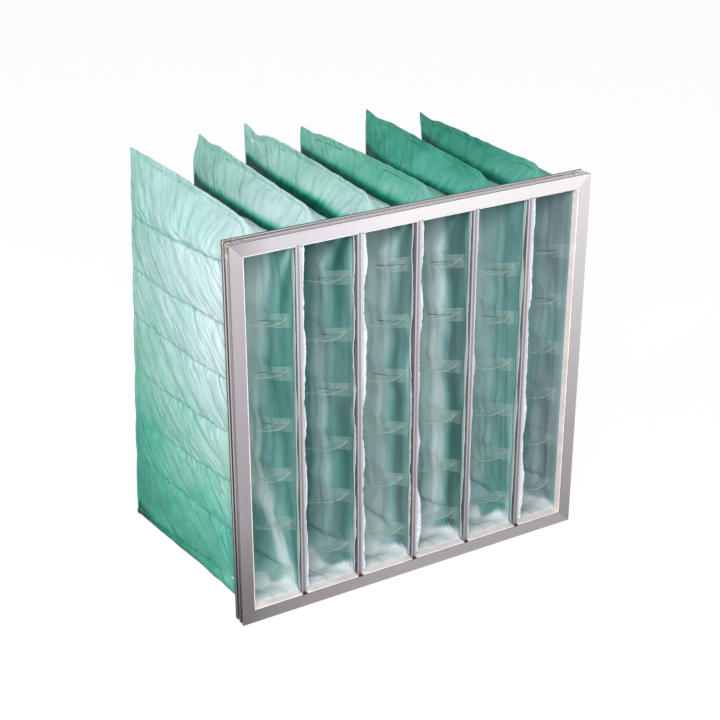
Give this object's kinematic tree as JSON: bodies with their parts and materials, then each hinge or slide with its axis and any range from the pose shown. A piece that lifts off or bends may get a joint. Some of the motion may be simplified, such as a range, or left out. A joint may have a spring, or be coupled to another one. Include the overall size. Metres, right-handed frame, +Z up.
{
  "type": "bag air filter",
  "caption": "Pocket air filter: tapering quilted fibre bags held side by side by divider bars in a square aluminium header frame, for cleaning supply air.",
  "frame": {"origin": "middle of the filter's footprint, on the surface that it stands on", "axes": "+X to the right across the inlet face, +Y from the inlet face to the pocket tips, +Z up"},
  "size_m": [0.609, 0.4, 0.622],
  "materials": {
    "frame_aluminium": "satin brushed extrusion",
    "galvanised_key": "mottled galvanised",
    "cream_strip": "matt extruded strip",
    "divider_aluminium": "satin grooved extrusion",
    "filter_cloth": "soft bonded fibre fleece",
    "spacer_tape": "thin pale fleece"
  },
  "bodies": {
    "root": {"frame_rail_top": "frame_aluminium", "frame_rail_bottom": "frame_aluminium", "frame_rail_left": "frame_aluminium", "frame_rail_right": "frame_aluminium", "corner_key_top_left": "galvanised_key", "corner_key_top_right": "galvanised_key", "corner_key_bottom_left": "galvanised_key", "corner_key_bottom_right": "galvanised_key", "clamp_strip_top": "cream_strip", "clamp_strip_bottom": "cream_strip", "clamp_strip_left": "cream_strip", "clamp_strip_right": "cream_strip", "divider_1": "divider_aluminium", "divider_2": "divider_aluminium", "divider_3": "divider_aluminium", "divider_4": "divider_aluminium", "divider_5": "divider_aluminium", "pocket_1": "filter_cloth", "pocket_2": "filter_cloth", "pocket_3": "filter_cloth", "pocket_4": "filter_cloth", "pocket_5": "filter_cloth", "pocket_6": "filter_cloth", "spacer_tape_1_1": "spacer_tape", "spacer_tape_1_2": "spacer_tape", "spacer_tape_1_3": "spacer_tape", "spacer_tape_1_4": "spacer_tape", "spacer_tape_1_5": "spacer_tape", "spacer_tape_1_6": "spacer_tape", "spacer_tape_2_1": "spacer_tape", "spacer_tape_2_2": "spacer_tape", "spacer_tape_2_3": "spacer_tape", "spacer_tape_2_4": "spacer_tape", "spacer_tape_2_5": "spacer_tape", "spacer_tape_2_6": "spacer_tape", "spacer_tape_3_1": "spacer_tape", "spacer_tape_3_2": "spacer_tape", "spacer_tape_3_3": "spacer_tape", "spacer_tape_3_4": "spacer_tape", "spacer_tape_3_5": "spacer_tape", "spacer_tape_3_6": "spacer_tape", "spacer_tape_4_1": "spacer_tape", "spacer_tape_4_2": "spacer_tape", "spacer_tape_4_3": "spacer_tape", "spacer_tape_4_4": "spacer_tape", "spacer_tape_4_5": "spacer_tape", "spacer_tape_4_6": "spacer_tape", "spacer_tape_5_1": "spacer_tape", "spacer_tape_5_2": "spacer_tape", "spacer_tape_5_3": "spacer_tape", "spacer_tape_5_4": "spacer_tape", "spacer_tape_5_5": "spacer_tape", "spacer_tape_5_6": "spacer_tape", "spacer_tape_6_1": "spacer_tape", "spacer_tape_6_2": "spacer_tape", "spacer_tape_6_3": "spacer_tape", "spacer_tape_6_4": "spacer_tape", "spacer_tape_6_5": "spacer_tape", "spacer_tape_6_6": "spacer_tape"}
  },
  "joints": []
}
